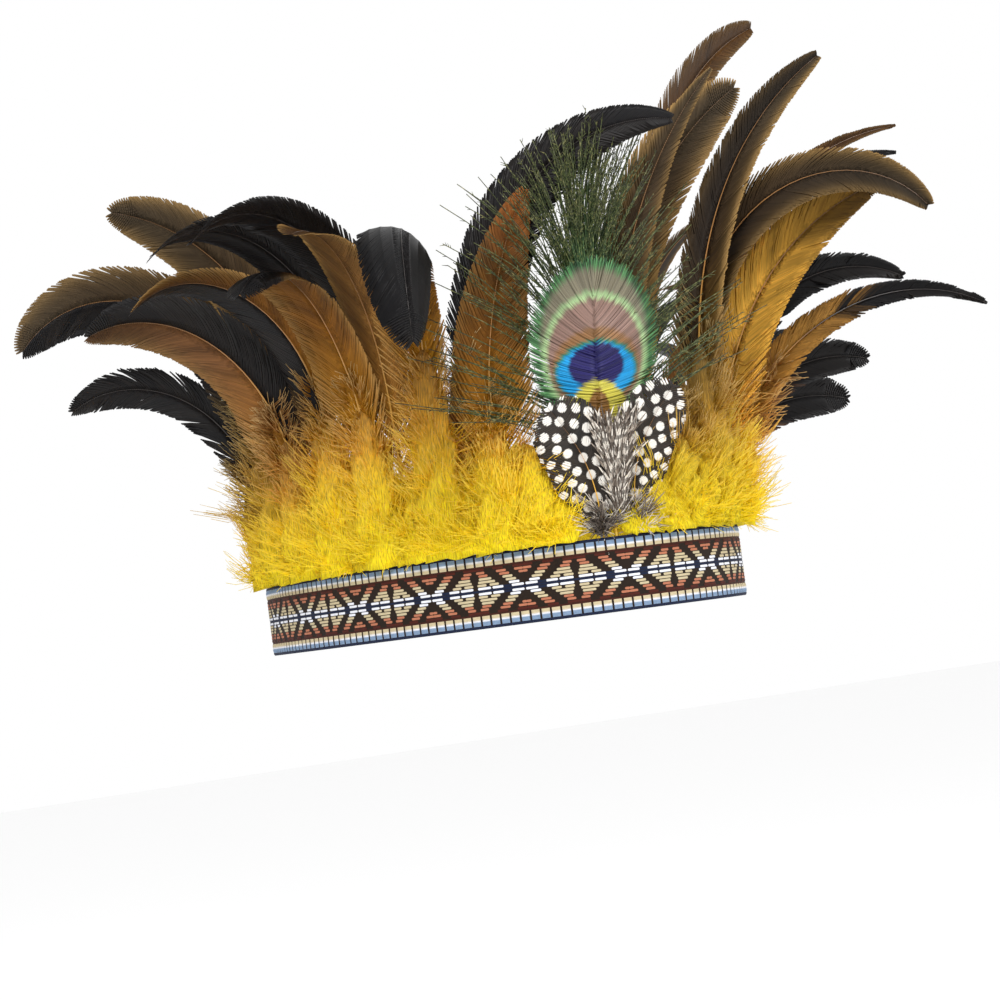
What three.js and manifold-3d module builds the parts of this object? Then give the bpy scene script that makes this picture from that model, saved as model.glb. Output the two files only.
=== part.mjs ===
// A feathered headdress: a woven ribbon headband that carries a crown of long
// cock-tail hackles, with a peacock eye feather and two spotted guinea-fowl
// feathers over the brow. The outer hackles wear their yellow down at the foot.
//
// Millimetres, +Z up. The wearer faces -Y, so the wearer's right is -X. The
// origin is the middle of the head opening, in the plane of the ribbon's lower
// edge. Places along the ribbon are given as the distance from the middle of
// the brow, positive towards the wearer's right.
import * as THREE from 'three';
import { mergeVertices } from 'three/addons/utils/BufferGeometryUtils.js';
import Module from 'manifold-3d';

const wasm = await Module();
wasm.setup();

// ---- Headband ------------------------------------------------------------
const OPENING_HALF_DEPTH = 108;   // brow to back, to the middle of the ribbon's wall
const OPENING_HALF_WIDTH = 77;    // ear to ear
const RIBBON_HEIGHT = 25;
const RIBBON_THICKNESS = 1.2;
const RIBBON_SIDES = 72;
const RIBBON_COLOR = 0x4a352a;

// ---- Hackles ---------------------------------------------------------------
const QUILL_FOOT_Z = 4;           // the quills end behind the ribbon, above its lower edge
const QUILL_RADIUS = 0.85;
const QUILL_INSET = 1.8;          // the quills' axes, in from the middle of the ribbon's wall
const ROW_STEP = 2.9;             // over the ribbon each row's vanes stand this much further in
const ROW_SPREAD = 16;            // length over which the rows part
const TUCKED = 22;                // length of quill that stays upright behind the ribbon
const EASE = 45;                  // length over which a feather takes up its lean and flare
const BEND_START = 0.3;           // share of the length where the curl begins
const BEND_POWER = 1.5;           // the curl tightens towards the tip
const STEPS_BETWEEN = 8;          // small steps along the shaft between two sections
const VANE_EDGE = 0.5;            // thickness of the vane at its edge
const VANE_CROWN = 0.9;           // half of its thickness over the shaft
const VANE_CUP = 0.1;             // how far the edges turn in, as a share of the half width
const BLADE_STEPS = 11;
const VANE_START = 0.16;          // share of the length that is bare quill
const VANE_FULL = 0.5;            // share of the length where the vane is at its widest
const ROUND_END = 0.22;           // share of the length over which a round end closes
const POINTED_END = 0.6;          // the same for a pointed end
const ROUND_POWER = 2.2;          // exponent of a round end's outline
const POINTED_POWER = 1.35;

// The birds' plumage.
const PLUMAGE = { black: 0x1d1712, olive: 0x4d3f1c, golden: 0x8a5518, brown: 0x5b3a1e };

// One row a feather. at: place on the ribbon. row: 0 outer, 1, 2 inner. length
// and width in millimetres. lean: sideways tilt, flare: outward tilt, over the
// ribbon. side, out: the curl's total turn, in degrees. turn: the vane's own
// turn about its shaft. round: 1 is a round end and 0 a pointed one. down: 1
// where the feather wears its tuft of down outside the ribbon.
const HACKLE_COLUMNS = [
  'name', 'plumage', 'at', 'row', 'length', 'width', 'lean', 'flare', 'side', 'out', 'turn', 'round', 'down',
];
const HACKLES = [
  ['hackle_right_01', 'black',   47,   1, 204, 26,  7,  0, -115,   0,  0, 0.3, 0],
  ['hackle_right_02', 'golden',  53,   0, 145, 28, -1,  0,  -32,   0,  0, 0.3, 1],
  ['hackle_right_03', 'golden',  73,   0, 215, 25, -2,  5,  -90, 170,  0,   1, 1],
  ['hackle_right_04', 'brown',   92,   1, 176, 22,  0,  0,  -35, 105,  0,   1, 0],
  ['hackle_right_05', 'black',   94,   2, 204, 22,  0,  0,    5, 134, 20, 0.6, 0],
  ['hackle_right_06', 'golden', 100,   0, 176, 22,  5,  2,  -50, 125, 15,   1, 1],
  ['hackle_right_07', 'black',  112, 1.8, 200, 20,  0,  0,   -5, 132, 20, 0.8, 0],
  ['hackle_right_08', 'golden', 122,   0, 180, 20,  0,  0,    0, 135, 25, 0.6, 1],
  ['hackle_right_09', 'brown',  144,   0, 165, 25,  0,  8,    0, 110, 50, 0.8, 1],
  ['hackle_right_10', 'olive',  150,   2, 187, 23,  0,  0,    0,  84, 65, 0.9, 0],
  ['hackle_right_11', 'olive',  164,   0, 195, 25,  0,  5,    0, 142, 65, 0.9, 1],
  ['hackle_right_12', 'black',  187,   0, 145, 18,  0,  8,    0, 120, 60, 0.8, 1],
  ['hackle_left_01',  'olive',    7, 3.3, 188, 22, -8,  0,  -30,  28,  0,   0, 0],
  ['hackle_left_02',  'olive',    1, 4.2, 190, 26, -5,  0,  -52,  21,  0, 0.9, 0],
  ['hackle_left_03',  'golden', -24, 5.2, 236, 18, -6,  0,  -66,  14,  0, 0.8, 0],
  ['hackle_left_04',  'olive',  -36,   0, 196, 20,  0,  3,    0,  62, 75, 0.5, 1],
  ['hackle_left_05',  'olive',  -43,   1, 206, 20,  0,  2,    0, 148, 75, 0.6, 0],
  ['hackle_left_06',  'golden', -51,   0, 162, 24,  0, 14,    0,  65, 75, 0.6, 1],
  ['hackle_left_07',  'brown',  -63,   0, 166, 16,  0, 34,    0,  92, 70,   0, 1],
  ['hackle_left_08',  'brown',  -67,   2, 197, 14,  0,  8,    0,  84, 70,   0, 0],
  ['hackle_left_09',  'black',  -74,   1, 160, 18,  0,  8,    0,  70, 75, 0.3, 0],
  ['hackle_left_10',  'black',  -82,   0, 160, 16,  0, 10,    0, 115, 75, 0.5, 1],
  ['hackle_left_11',  'black',  -92,   2, 200, 14,  0, 10,    0,  88, 75,   0, 0],
  ['hackle_left_12',  'brown',  -97,   0, 122, 16,  0, 30,    0,  80, 75,   1, 1],
  ['hackle_left_13',  'brown', -111,   0, 112, 18,  0, 45,    0,  65, 75,   1, 1],
  ['hackle_left_14',  'black', -125,   0, 124, 19,  0, 20,    0,  80, 60, 0.8, 1],
  ['hackle_left_15',  'brown', -142,   0, 152, 20,  0,  8,    0, 105,  0, 0.8, 1],
  ['hackle_left_16',  'olive', -148,   2, 180, 18,  0,  0,    0,  90,  0, 0.9, 0],
  ['hackle_left_17',  'black', -163,   0, 170, 20,  0,  5,    0, 125,  0, 0.9, 1],
  ['hackle_left_18',  'brown', -176,   2, 165, 18,  0,  3,    0, 110,  0, 0.9, 0],
  ['hackle_left_19',  'black', -188,   0, 145, 18,  0,  8,    0, 118,  0, 0.8, 1],
];

// ---- Down ------------------------------------------------------------------
const DOWN_FOOT_Z = 25.4;         // the down sits just over the ribbon's upper edge
const DOWN_BULGE = 16;            // how far it swells out from its quill
const DOWN_CLEAR = 1.2;           // it lies this far outside the quills' axes, apart from its root
const DOWN_ROOT = 1.9;            // radius of the root that joins it to its own quill
const DOWN_HEIGHT = 52;           // length of the longest lock
const DOWN_SIDE_LENGTH = 24;      // length of a lock that lies sideways
const DOWN_LOCKS = 5;
const DOWN_NOTCH = 0.74;          // depth of the notch between two locks, as a share of their length
const DOWN_FAN = 84;              // the fan opens this many degrees to each side
const DOWN_DROOP = 1.2;           // how fast the locks shorten towards the sides of the fan
const DOWN_NOTCH_SWELL = 0.86;    // the notches are also this much shallower
const SECTOR_GAP = 0.2;           // each tuft stops this far short of the line half way to the next
const TUFT_REACH = 15;            // the widest that an end tuft spreads along the ribbon

// ---- Peacock and guinea-fowl feathers -----------------------------------------
const EYE_MIDDLE_Z = 91;
const EYE_HALF_HEIGHT = 27;
const EYE_HALF_WIDTH = 21.5;
const EYE_HALF_THICKNESS = 0.5;
const PEACOCK = { at: 14, row: 2.4, length: 112, lean: 0, flare: 12, side: 0, out: 6, turn: 0 };
// Loose herl in strips. from: height along the shaft. reach, rise: how far the
// strip's end lies to the side and above its root.
const HERL_COLUMNS = ['from', 'reach', 'rise'];
const HERL = [
  [53, 68, 19], [56, 64, 36], [62, 60, 58], [74, 42, 66], [88, 24, 62], [96, 6, 62],
  [96, -12, 66], [88, -26, 70], [76, -36, 62], [64, -40, 46], [54, -54, 48], [42, -70, 50],
];
const PEACOCK_STEPS = 16;
const PEACOCK_COLOR = 0x2f5a3a;
const HERL_WIDTH = 2.6;
const HERL_THICKNESS = 1.1;
const HERL_STEPS = 3;
const HERL_FORWARD = 9;           // how far a strip's end stands in front of its root

const GUINEA_COLOR = 0x2a2622;
const GUINEA_COLUMNS = ['name', 'at', 'row', 'length', 'width', 'lean', 'flare', 'side', 'out'];
const GUINEA = [
  ['guinea_feather_right', 18.6, 0, 71, 26, 31, 12, 6, 6],
  ['guinea_feather_left', 4.6, 0.9, 75, 25, -30, 12, -6, 6],
];
const GUINEA_OUTLINE = { turn: 0, round: 1, vaneStart: 0.24, vaneFull: 0.6 };

// ---- Where things stand on the ribbon ----------------------------------------
const ribbonLine = new THREE.EllipseCurve(
  0, 0, OPENING_HALF_WIDTH, OPENING_HALF_DEPTH, -Math.PI / 2, 1.5 * Math.PI);
ribbonLine.arcLengthDivisions = 720;
const RIBBON_LENGTH = ribbonLine.getLength();
const UP = new THREE.Vector3(0, 0, 1);

// The point of the ribbon's middle line at a distance from the brow, with the
// directions outward from the head and sideways towards the wearer's right.
function ribbonPlace(at) {
  const share = (1 - at / RIBBON_LENGTH) % 1;
  const point = ribbonLine.getPointAt(share);
  const sideways = ribbonLine.getTangentAt(share).negate();
  return {
    point: new THREE.Vector3(point.x, point.y, 0),
    sideways: new THREE.Vector3(sideways.x, sideways.y, 0),
    outward: new THREE.Vector3(-sideways.y, sideways.x, 0),
  };
}

// ---- Solids -----------------------------------------------------------------
// A closed skin over rings of points, each ring with the same number of points.
function skin(rings) {
  const sides = rings[0].length;
  const last = (rings.length - 1) * sides;
  const index = [];
  for (let r = 0; r < rings.length - 1; r++) {
    for (let i = 0; i < sides; i++) {
      const a = r * sides + i;
      const b = r * sides + (i + 1) % sides;
      index.push(a, b, b + sides, a, b + sides, a + sides);
    }
  }
  for (let i = 1; i < sides - 1; i++) {
    index.push(0, i + 1, i, last, last + i, last + i + 1);
  }
  const geometry = new THREE.BufferGeometry().setFromPoints(rings.flat());
  geometry.setIndex(index);
  return geometry;
}

function solidOf(geometry) {
  const bare = geometry.clone();
  bare.deleteAttribute('normal');
  bare.deleteAttribute('uv');
  const merged = mergeVertices(bare, 1e-4);
  return new wasm.Manifold(new wasm.Mesh({
    numProp: 3,
    vertProperties: merged.attributes.position.array,
    triVerts: new Uint32Array(merged.index.array),
  }));
}

function geometryOf(solid) {
  const { vertProperties, triVerts } = solid.getMesh();
  const geometry = new THREE.BufferGeometry();
  geometry.setAttribute('position', new THREE.BufferAttribute(vertProperties, 3));
  geometry.setIndex(new THREE.BufferAttribute(triVerts, 1));
  return geometry;
}

const radians = THREE.MathUtils.degToRad;
const smooth = THREE.MathUtils.smoothstep;

// The frames along a feather's shaft. Its heading tips away from upright by the
// lean and flare, and then by the curl, which grows towards the tip.
function shaftFrames(feather, steps) {
  const place = ribbonPlace(feather.at);
  const inward = place.outward.clone().negate();
  const point = place.point.clone().addScaledVector(inward, QUILL_INSET).setZ(QUILL_FOOT_Z);
  const heading = new THREE.Vector3();
  const tip = new THREE.Quaternion();
  const frames = [];
  const count = steps * STEPS_BETWEEN;
  for (let i = 0; i <= count; i++) {
    const share = i / count;
    const along = share * feather.length;
    const ease = smooth(along, TUCKED, TUCKED + EASE);
    const curl = Math.max(0, (share - BEND_START) / (1 - BEND_START)) ** BEND_POWER;
    const sideways = radians(feather.lean * ease + feather.side * curl);
    const outward = radians(feather.flare * ease + feather.out * curl);
    const angle = Math.hypot(sideways, outward);
    const axis = new THREE.Vector3()
      .addScaledVector(place.sideways, sideways)
      .addScaledVector(place.outward, outward);
    tip.setFromAxisAngle(UP.clone().cross(axis).normalize(), angle);
    heading.copy(UP).applyQuaternion(tip);
    if (i % STEPS_BETWEEN === 0) {
      const across = place.sideways.clone()
        .applyQuaternion(tip)
        .applyAxisAngle(heading, radians(feather.turn));
      const parted = feather.row * ROW_STEP * smooth(along, TUCKED, TUCKED + ROW_SPREAD);
      frames.push({
        point: point.clone().addScaledVector(inward, parted),
        share, across, face: heading.clone().cross(across),
      });
    }
    point.addScaledVector(heading, feather.length / count);
  }
  return frames;
}

// Half of a hackle's width: a bare quill, then a vane that widens and closes in
// a round or a pointed end.
function vaneHalfWidth(feather, share) {
  const rise = smooth(share, feather.vaneStart ?? VANE_START, feather.vaneFull ?? VANE_FULL);
  const endLength = THREE.MathUtils.lerp(POINTED_END, ROUND_END, feather.round);
  const end = Math.max(0, (share - 1 + endLength) / endLength);
  const power = THREE.MathUtils.lerp(POINTED_POWER, ROUND_POWER, feather.round);
  const close = Math.max(0, 1 - end ** power) ** (1 / power);
  return Math.max(QUILL_RADIUS, feather.width / 2 * rise * close);
}

function bladeRings(feather) {
  return shaftFrames(feather, BLADE_STEPS).map(({ point, share, across, face }) => {
    const half = vaneHalfWidth(feather, share);
    const crown = VANE_CROWN * (1 - 0.45 * share);
    const edge = half <= QUILL_RADIUS ? VANE_EDGE : VANE_EDGE / 2;
    const cup = -half * VANE_CUP;
    const section = [
      [half, cup - edge], [half, cup + edge], [0, crown],
      [-half, cup + edge], [-half, cup - edge], [0, -crown],
    ];
    return section.map(([x, y]) => point.clone().addScaledVector(across, x).addScaledVector(face, y));
  });
}

// A fan of locks over the ribbon, swelling outwards, with a notch between locks.
function downGeometry(feather) {
  const place = ribbonPlace(feather.at);
  const axis = place.point.clone().addScaledVector(place.outward, -QUILL_INSET);
  const rings = [];
  const stops = 2 * DOWN_LOCKS - 1;
  for (let i = 0; i < stops; i++) {
    const angle = THREE.MathUtils.lerp(-DOWN_FAN, DOWN_FAN, i / (stops - 1));
    const side = Math.abs(angle) / DOWN_FAN;
    const isNotch = i % 2 === 1;
    const lock = THREE.MathUtils.lerp(DOWN_HEIGHT, DOWN_SIDE_LENGTH, side ** DOWN_DROOP);
    const tip = lock * (isNotch ? DOWN_NOTCH : 1);
    const swell = DOWN_BULGE * (isNotch ? DOWN_NOTCH_SWELL : 1);
    // Distance from the foot of the quill, and outward from the quill's axis.
    const section = [[DOWN_ROOT, -0.6], [0.1, 0.45 * swell], [0.4 * tip, swell], [0.8 * tip, 0.8 * swell],
      [tip, 0.4 * swell], [0.6 * tip, DOWN_CLEAR], [DOWN_ROOT, DOWN_CLEAR]];
    rings.push(section.map(([reach, out]) => axis.clone()
      .addScaledVector(place.sideways, reach * Math.sin(radians(angle)))
      .addScaledVector(place.outward, out)
      .setZ(DOWN_FOOT_Z + reach * Math.cos(radians(angle)))));
  }
  return skin(rings);
}

// The slice of space over the ribbon between two places, that one tuft fills.
function sectorGeometry(from, to) {
  const corner = (at, out, nudge) => {
    const place = ribbonPlace(at);
    const point = place.point.clone()
      .addScaledVector(place.outward, out)
      .addScaledVector(place.sideways, nudge);
    return new THREE.Vector2(point.x, point.y);
  };
  const middle = (from + to) / 2;
  const inner = -QUILL_INSET - 1;
  const outer = DOWN_BULGE + 4;
  const shape = new THREE.Shape([
    corner(from, inner, SECTOR_GAP), corner(middle, inner, 0), corner(to, inner, -SECTOR_GAP),
    corner(to, outer, -SECTOR_GAP), corner(middle, outer, 0), corner(from, outer, SECTOR_GAP)]);
  return new THREE.ExtrudeGeometry(shape, { depth: DOWN_HEIGHT + 5, bevelEnabled: false })
    .translate(0, 0, DOWN_FOOT_Z);
}

// ---- Headdress ----------------------------------------------------------------
const headdress = new THREE.Group();

function add(name, geometry, color, roughness) {
  const material = new THREE.MeshStandardMaterial({ color, roughness, metalness: 0, flatShading: true });
  const mesh = new THREE.Mesh(geometry, material);
  mesh.name = name;
  headdress.add(mesh);
}

function headbandGeometry() {
  const grow = RIBBON_THICKNESS / 2;
  const outline = (by) => new THREE.EllipseCurve(
    0, 0, OPENING_HALF_WIDTH + by, OPENING_HALF_DEPTH + by).getPoints(RIBBON_SIDES).slice(0, -1);
  const shape = new THREE.Shape(outline(grow));
  shape.holes.push(new THREE.Path(outline(-grow)));
  return new THREE.ExtrudeGeometry(shape, { depth: RIBBON_HEIGHT, bevelEnabled: false });
}

add('headband', headbandGeometry(), RIBBON_COLOR, 0.9);

const table = (columns, rows) => rows.map(
  (row) => Object.fromEntries(columns.map((column, i) => [column, row[i]])));
const hackles = table(HACKLE_COLUMNS, HACKLES);
const tufted = hackles.filter((feather) => feather.down).sort((a, b) => a.at - b.at);

for (const feather of hackles) {
  let geometry = skin(bladeRings(feather));
  if (feather.down) {
    const i = tufted.indexOf(feather);
    const before = tufted[i - 1]?.at ?? -Infinity;
    const after = tufted[i + 1]?.at ?? Infinity;
    const from = Math.max((before + feather.at) / 2, feather.at - TUFT_REACH);
    const to = Math.min((after + feather.at) / 2, feather.at + TUFT_REACH);
    const down = solidOf(downGeometry(feather)).intersect(solidOf(sectorGeometry(from, to)));
    geometry = geometryOf(solidOf(geometry).add(down));
  }
  add(feather.name, geometry, PLUMAGE[feather.plumage], 0.5);
}

// The peacock feather: a quill that opens into the eye, with loose herl round it.
function peacockGeometry() {
  const eyeHalfWidth = (along) => {
    const offset = (along + QUILL_FOOT_Z - EYE_MIDDLE_Z) / EYE_HALF_HEIGHT;
    return Math.abs(offset) < 1 ? EYE_HALF_WIDTH * Math.sqrt(1 - offset ** 2) : 0;
  };
  const frames = shaftFrames(PEACOCK, PEACOCK_STEPS);
  const rings = frames.map(({ point, share, across, face }) => {
    const half = Math.max(QUILL_RADIUS, eyeHalfWidth(share * PEACOCK.length));
    const section = [
      [half, -EYE_HALF_THICKNESS], [half, EYE_HALF_THICKNESS], [0, VANE_CROWN],
      [-half, EYE_HALF_THICKNESS], [-half, -EYE_HALF_THICKNESS], [0, -VANE_CROWN],
    ];
    return section.map(([x, y]) => point.clone().addScaledVector(across, x).addScaledVector(face, y));
  });
  let solid = solidOf(skin(rings));
  for (const { from, reach, rise } of table(HERL_COLUMNS, HERL)) {
    const root = frames[Math.round(from / PEACOCK.length * PEACOCK_STEPS)];
    const flow = root.across.clone().multiplyScalar(reach).addScaledVector(UP, rise).normalize();
    const width = root.face.clone().cross(flow).normalize();
    const strip = [];
    for (let i = 0; i <= HERL_STEPS; i++) {
      const t = i / HERL_STEPS;
      const middle = root.point.clone()
        .addScaledVector(root.across, reach * t ** 1.15)
        .addScaledVector(UP, rise * t ** 0.85)
        .addScaledVector(root.face, HERL_FORWARD * t);
      const half = HERL_WIDTH / 2 * (1 - 0.7 * t);
      const thick = HERL_THICKNESS / 2 * (1 - 0.4 * t);
      const section = [[half, -thick], [half, thick], [-half, thick], [-half, -thick]];
      strip.push(section.map(([x, y]) => middle.clone()
        .addScaledVector(width, x)
        .addScaledVector(root.face, y)));
    }
    solid = solid.add(solidOf(skin(strip)));
  }
  return geometryOf(solid);
}

add('peacock_eye_feather', peacockGeometry(), PEACOCK_COLOR, 0.4);

for (const feather of table(GUINEA_COLUMNS, GUINEA)) {
  add(feather.name, skin(bladeRings({ ...feather, ...GUINEA_OUTLINE })), GUINEA_COLOR, 0.6);
}

export default headdress;
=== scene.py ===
"""The looks of a feathered headdress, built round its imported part.

Every feather is made as a real one is: a shaft that carries hundreds of barbs,
each barb a slim closed strip. The shafts follow the same table and formula as
the part's source. Lengths are in millimetres until a mesh is made, and a place
on a feather is a share of its length, from 0 at the quill's foot to 1 at the tip.
"""

import functools
import math

import bpy
import numpy as np
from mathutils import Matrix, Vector


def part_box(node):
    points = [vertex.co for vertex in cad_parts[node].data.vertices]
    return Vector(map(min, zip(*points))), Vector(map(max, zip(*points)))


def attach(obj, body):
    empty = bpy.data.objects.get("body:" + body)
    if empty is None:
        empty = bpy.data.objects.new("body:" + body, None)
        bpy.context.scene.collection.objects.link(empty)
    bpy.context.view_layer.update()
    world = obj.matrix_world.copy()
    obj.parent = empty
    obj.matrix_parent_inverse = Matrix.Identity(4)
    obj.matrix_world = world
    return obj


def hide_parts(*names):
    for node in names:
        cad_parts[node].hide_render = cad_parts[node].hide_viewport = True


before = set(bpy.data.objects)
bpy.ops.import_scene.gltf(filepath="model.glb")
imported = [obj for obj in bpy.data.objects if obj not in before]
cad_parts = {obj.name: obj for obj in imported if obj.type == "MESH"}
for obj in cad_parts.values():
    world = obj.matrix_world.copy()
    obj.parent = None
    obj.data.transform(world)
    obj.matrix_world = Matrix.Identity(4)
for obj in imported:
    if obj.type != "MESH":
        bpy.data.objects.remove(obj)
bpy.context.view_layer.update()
bpy.ops.object.select_all(action="DESELECT")
MM = 0.001

# ---- Sizes shared with the part's source ------------------------------------------
_, band_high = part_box("headband")
RIBBON_THICKNESS = 1.2
HALF_WIDTH = band_high.x / MM - RIBBON_THICKNESS / 2
HALF_DEPTH = band_high.y / MM - RIBBON_THICKNESS / 2
RIBBON_HEIGHT = band_high.z / MM
QUILL_FOOT_Z = 4
QUILL_RADIUS = 0.85
QUILL_INSET = 1.8                 # from the ribbon's middle line in to the front row of quills
ROW_STEP = 2.9                    # from one row of feathers to the next, above the ribbon
ROW_SPREAD = 16                   # height over which the rows part
TUCKED = 22                       # length of quill that the ribbon holds straight
EASE = 45                         # length over which a lean sets in
BEND_START = 0.3                  # the curl starts here and grows by this power
BEND_POWER = 1.5
VANE_START = 0.16
VANE_FULL = 0.5
ROUND_END, POINTED_END = 0.22, 0.6  # share of the length over which the vane narrows to its tip
ROUND_POWER, POINTED_POWER = 2.2, 1.35
VANE_CUP = 0.1                    # how far a vane's edges turn in, as a share of its half width

# One row a feather, as in the part's source, and then its looks.
# dark_side: how black one half is, below 0 for the one half and above it for the other.
# dark_from: where the whole vane turns black, over 1 for never. rim: how pale the edge is.
COLUMNS = ("name", "plumage", "at", "row", "length", "width", "lean", "flare", "side", "out",
           "turn", "round", "down", "dark_side", "dark_from", "rim")
HACKLES = (
    ("hackle_right_01", "black", 47, 1, 204, 26, 7, 0, -115, 0, 0, 0.3, 0, 0, 0.3, 0),
    ("hackle_right_02", "golden", 53, 0, 145, 28, -1, 0, -32, 0, 0, 0.3, 1, 0, 2, 0.2),
    ("hackle_right_03", "golden", 73, 0, 215, 25, -2, 5, -90, 170, 0, 1, 1, 0, 0.56, 0),
    ("hackle_right_04", "brown", 92, 1, 176, 22, 0, 0, -35, 105, 0, 1, 0, 0, 2, 0.5),
    ("hackle_right_05", "black", 94, 2, 204, 22, 0, 0, 5, 134, 20, 0.6, 0, 0, 0.5, 0.3),
    ("hackle_right_06", "golden", 100, 0, 176, 22, 5, 2, -50, 125, 15, 1, 1, 0, 0.8, 0.4),
    ("hackle_right_07", "black", 112, 1.8, 200, 20, 0, 0, -5, 132, 20, 0.8, 0, 0, 0.5, 0),
    ("hackle_right_08", "golden", 122, 0, 180, 20, 0, 0, 0, 135, 25, 0.6, 1, 1, 2, 0.5),
    ("hackle_right_09", "brown", 144, 0, 165, 25, 0, 8, 0, 110, 50, 0.8, 1, -1, 2, 0.3),
    ("hackle_right_10", "olive", 150, 2, 187, 23, 0, 0, 0, 84, 65, 0.9, 0, 0, 2, 0.4),
    ("hackle_right_11", "olive", 164, 0, 195, 25, 0, 5, 0, 142, 65, 0.9, 1, 1, 2, 0.3),
    ("hackle_right_12", "black", 187, 0, 145, 18, 0, 8, 0, 120, 60, 0.8, 1, 0, 0.42, 0),
    ("hackle_left_01", "olive", 7, 3.3, 188, 22, -8, 0, -30, 28, 0, 0, 0, 0, 2, 0.5),
    ("hackle_left_02", "olive", 1, 4.2, 190, 26, -5, 0, -52, 21, 0, 0.9, 0, 0, 2, 0.7),
    ("hackle_left_03", "golden", -24, 5.2, 236, 18, -6, 0, -66, 14, 0, 0.8, 0, 0.5, 2, 0.3),
    ("hackle_left_04", "olive", -36, 0, 196, 20, 0, 3, 0, 62, 75, 0.5, 1, -0.8, 2, 0.7),
    ("hackle_left_05", "olive", -43, 1, 206, 20, 0, 2, 0, 148, 75, 0.6, 0, 0.4, 2, 0.6),
    ("hackle_left_06", "golden", -51, 0, 162, 24, 0, 14, 0, 65, 75, 0.6, 1, 0, 2, 0.2),
    ("hackle_left_07", "brown", -63, 0, 166, 16, 0, 34, 0, 92, 70, 0, 1, 0, 0.66, 0),
    ("hackle_left_08", "brown", -67, 2, 197, 14, 0, 8, 0, 84, 70, 0, 0, 0, 2, 0.2),
    ("hackle_left_09", "black", -74, 1, 160, 18, 0, 8, 0, 70, 75, 0.3, 0, 0, 0.4, 0),
    ("hackle_left_10", "black", -82, 0, 160, 16, 0, 10, 0, 115, 75, 0.5, 1, 0, 0.4, 0),
    ("hackle_left_11", "black", -92, 2, 200, 14, 0, 10, 0, 88, 75, 0, 0, 0, 0.6, 0.2),
    ("hackle_left_12", "brown", -97, 0, 122, 16, 0, 30, 0, 80, 75, 1, 1, 0, 0.62, 0),
    ("hackle_left_13", "brown", -111, 0, 112, 18, 0, 45, 0, 65, 75, 1, 1, 0, 0.6, 0),
    ("hackle_left_14", "black", -125, 0, 124, 19, 0, 20, 0, 80, 60, 0.8, 1, 0, 0.5, 0),
    ("hackle_left_15", "brown", -142, 0, 152, 20, 0, 8, 0, 105, 0, 0.8, 1, 1, 2, 0.3),
    ("hackle_left_16", "olive", -148, 2, 180, 18, 0, 0, 0, 90, 0, 0.9, 0, 0, 2, 0.4),
    ("hackle_left_17", "black", -163, 0, 170, 20, 0, 5, 0, 125, 0, 0.9, 1, 0, 0.5, 0),
    ("hackle_left_18", "brown", -176, 2, 165, 18, 0, 3, 0, 110, 0, 0.9, 0, 0, 2, 0.4),
    ("hackle_left_19", "black", -188, 0, 145, 18, 0, 8, 0, 118, 0, 0.8, 1, 0, 0.45, 0),
)

GUINEA_COLUMNS = ("name", "at", "row", "length", "width", "lean", "flare", "side", "out")
GUINEA = (
    ("guinea_feather_right", 18.6, 0, 71, 26, 31, 12, 6, 6),
    ("guinea_feather_left", 4.6, 0.9, 75, 25, -30, 12, -6, 6),
)
GUINEA_OUTLINE = {"turn": 0, "round": 1, "vane_start": 0.24, "vane_full": 0.6,
                  "dark_side": 0, "dark_from": 2, "rim": 0}
# The line along which soft barbs stand up between the two spotted vanes.
RUFF = {"at": 11.4, "row": -0.5, "length": 72, "lean": 0, "flare": 13, "side": 0, "out": 6, "turn": 0}

PEACOCK = {"at": 14, "row": 2.4, "length": 112, "lean": 0, "flare": 12, "side": 0, "out": 6, "turn": 0}
EYE_MIDDLE = 87                   # along the shaft from the quill's foot
EYE_HALF_HEIGHT = 27
EYE_HALF_WIDTH = 21.5
# Loose herl, from one side round to the other: where on the shaft it starts, how far across it
# reaches and how high it rises, and then the share of all the strands that each row holds.
HERL = (
    (53, 68, 19), (56, 64, 36), (62, 60, 58), (74, 42, 66), (88, 24, 62), (96, 6, 62),
    (96, -12, 66), (88, -26, 70), (76, -36, 62), (64, -40, 46), (54, -54, 48), (42, -70, 50),
)
HERL_SHARE = np.array([4, 5, 6, 9, 13, 15, 15, 12, 8, 6, 4, 3]) / 100

# Feathers whose barbs have parted.
RAGGED = {"hackle_right_12", "hackle_left_07", "hackle_left_09", "hackle_left_10", "hackle_left_12"}
# Vanes whose edges don't turn in by VANE_CUP: below 0 they turn out.
EDGES_IN = {"hackle_right_03": -0.55, "hackle_right_06": -0.3}
# Above 0 for a golden lower half, and below 0 for a fox-red tip.
BRIGHT = {"hackle_left_06": 1, "hackle_right_04": 0.15, "hackle_right_02": -0.8, "hackle_left_07": 0.3}
# More down, on stubs of quill between the feathers: the feather it belongs to, place, row, length
# and the share of the length that carries down.
STUBS = (
    ("hackle_right_02", 42, 1, 130, 0.5), ("hackle_right_02", 35, 3, 130, 0.5),
    ("hackle_right_03", 63, 1, 120, 0.5), ("hackle_right_04", 62, 3.5, 112, 0.85),
    ("hackle_right_03", 83, 1, 125, 0.5),
    ("hackle_left_02", -9, 3, 130, 0.5), ("hackle_left_04", -18, 1, 130, 0.5),
    ("hackle_left_04", -26, 0.5, 130, 0.5), ("hackle_left_06", -60, 0.5, 140, 0.5),
)


# ---- Curves and frames ---------------------------------------------------------------
def smooth(x, low, high):
    """0 below low, 1 above high, and an even rise between."""
    t = np.clip((np.asarray(x, float) - low) / (high - low), 0, 1)
    return t * t * (3 - 2 * t)


def lerp(a, b, t):
    return a + (b - a) * t


def unit(v):
    return v / np.maximum(np.linalg.norm(v, axis=-1, keepdims=True), 1e-12)


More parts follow.
